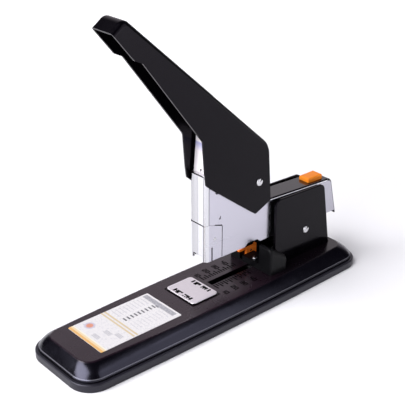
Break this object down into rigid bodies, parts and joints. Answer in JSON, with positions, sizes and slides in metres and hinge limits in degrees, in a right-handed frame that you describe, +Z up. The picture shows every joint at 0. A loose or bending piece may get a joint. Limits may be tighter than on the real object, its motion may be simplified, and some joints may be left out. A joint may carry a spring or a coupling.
{
  "type": "heavy duty lever stapler",
  "caption": "Desktop stapler with a long black base, chrome magazine arm on a rear hinge bracket, a tall lever handle, a turning anvil and a sliding depth guide.",
  "frame": {"origin": "middle of the base's footprint, on the table", "axes": "+X along the base towards the hinge bracket, +Y across the base, +Z up"},
  "size_m": [0.289, 0.0794, 0.2458],
  "materials": {
    "gloss_black_steel": "glossy black enamel",
    "tray_plastic": "satin dark grey",
    "chrome_steel": "bright plated",
    "bright_steel": "fine brushed",
    "black_plastic": "semi gloss",
    "orange_plastic": "semi gloss",
    "rubber": "matt",
    "paper": "printed sheet"
  },
  "bodies": {
    "base": {"base_cover": "gloss_black_steel", "base_tray": "tray_plastic", "rubber_feet": "rubber", "tray_screws": "bright_steel", "label_sheet": "paper", "bracket": "gloss_black_steel", "bracket_screws": "bright_steel", "pivot_pin": "bright_steel", "pivot_spacers": "bright_steel", "spring_cup": "bright_steel", "lift_spring": "bright_steel"},
    "anvil": {"anvil_plate": "chrome_steel", "anvil_stem": "bright_steel", "anvil_clip": "bright_steel", "anvil_spring": "bright_steel"},
    "guide": {"guide_block": "black_plastic", "guide_screw": "bright_steel", "guide_nut": "bright_steel", "lever_pin": "bright_steel"},
    "guide_lock": {"guide_lever": "orange_plastic"},
    "arm": {"arm_body": "chrome_steel", "nose_plate": "chrome_steel", "driver_guides": "bright_steel", "nose_rivets": "bright_steel", "top_cover": "gloss_black_steel", "pivot_frame": "bright_steel", "frame_rivets": "bright_steel", "staple_rail": "bright_steel", "rail_pins": "bright_steel", "staple_strip": "bright_steel", "rear_stop": "black_plastic", "pusher_rod": "bright_steel", "pusher_spring": "bright_steel", "spring_seat": "bright_steel", "latch_plate": "bright_steel", "button_spring": "bright_steel", "plunger_spring": "bright_steel", "lift_pad": "bright_steel", "handle_pin": "bright_steel", "handle_spacer": "bright_steel", "handle_washers": "bright_steel"},
    "pusher": {"pusher": "bright_steel"},
    "button": {"release_button": "orange_plastic"},
    "handle": {"handle_lever": "gloss_black_steel", "drive_pin": "bright_steel"},
    "plunger": {"plunger": "chrome_steel", "driver_blade": "bright_steel", "blade_rivets": "bright_steel"}
  },
  "joints": [
    {"name": "arm_hinge", "type": "hinge", "parent": "base", "child": "arm", "pos_m": [0.0964, 0, 0.0396], "axis": [0, -1, 0], "range_deg": [0, 13.4], "stiffness_Nm_per_rad": 4, "springref_deg": -20.05, "deforming": ["lift_spring"]},
    {"name": "handle_hinge", "type": "hinge", "parent": "arm", "child": "handle", "pos_m": [0.0432, 0, 0.0979], "axis": [0, -1, 0], "range_deg": [0, 29.5], "stiffness_Nm_per_rad": 1.5, "springref_deg": -22.92},
    {"name": "plunger_slide", "type": "slide", "parent": "arm", "child": "plunger", "axis": [0, 0, -1], "range_m": [0, 0.01928], "deforming": ["plunger_spring"]},
    {"name": "pusher_slide", "type": "slide", "parent": "arm", "child": "pusher", "axis": [1, 0, 0], "range_m": [0, 0.045], "stiffness_N_per_m": 80, "springref_m": -0.03, "deforming": ["pusher_spring"]},
    {"name": "button_press", "type": "slide", "parent": "arm", "child": "button", "axis": [0, 0, -1], "range_m": [0, 0.0015], "stiffness_N_per_m": 1500, "springref_m": -0.001, "deforming": ["button_spring"]},
    {"name": "anvil_turn", "type": "hinge", "parent": "base", "child": "anvil", "pos_m": [-0.0159, 0, 0.0192], "axis": [0, 0, 1], "range_deg": [0, 180]},
    {"name": "guide_slide", "type": "slide", "parent": "base", "child": "guide", "axis": [-1, 0, 0], "range_m": [0, 0.034]},
    {"name": "guide_lock_press", "type": "hinge", "parent": "guide", "child": "guide_lock", "pos_m": [0.0574, 0.0109, 0.0242], "axis": [0, -1, 0], "range_deg": [0, 4], "stiffness_Nm_per_rad": 0.05, "springref_deg": -11.46}
  ],
  "couplings": [
    {"joint": "plunger_slide", "follows": "handle_hinge", "m_per_rad": 0.037343}
  ]
}
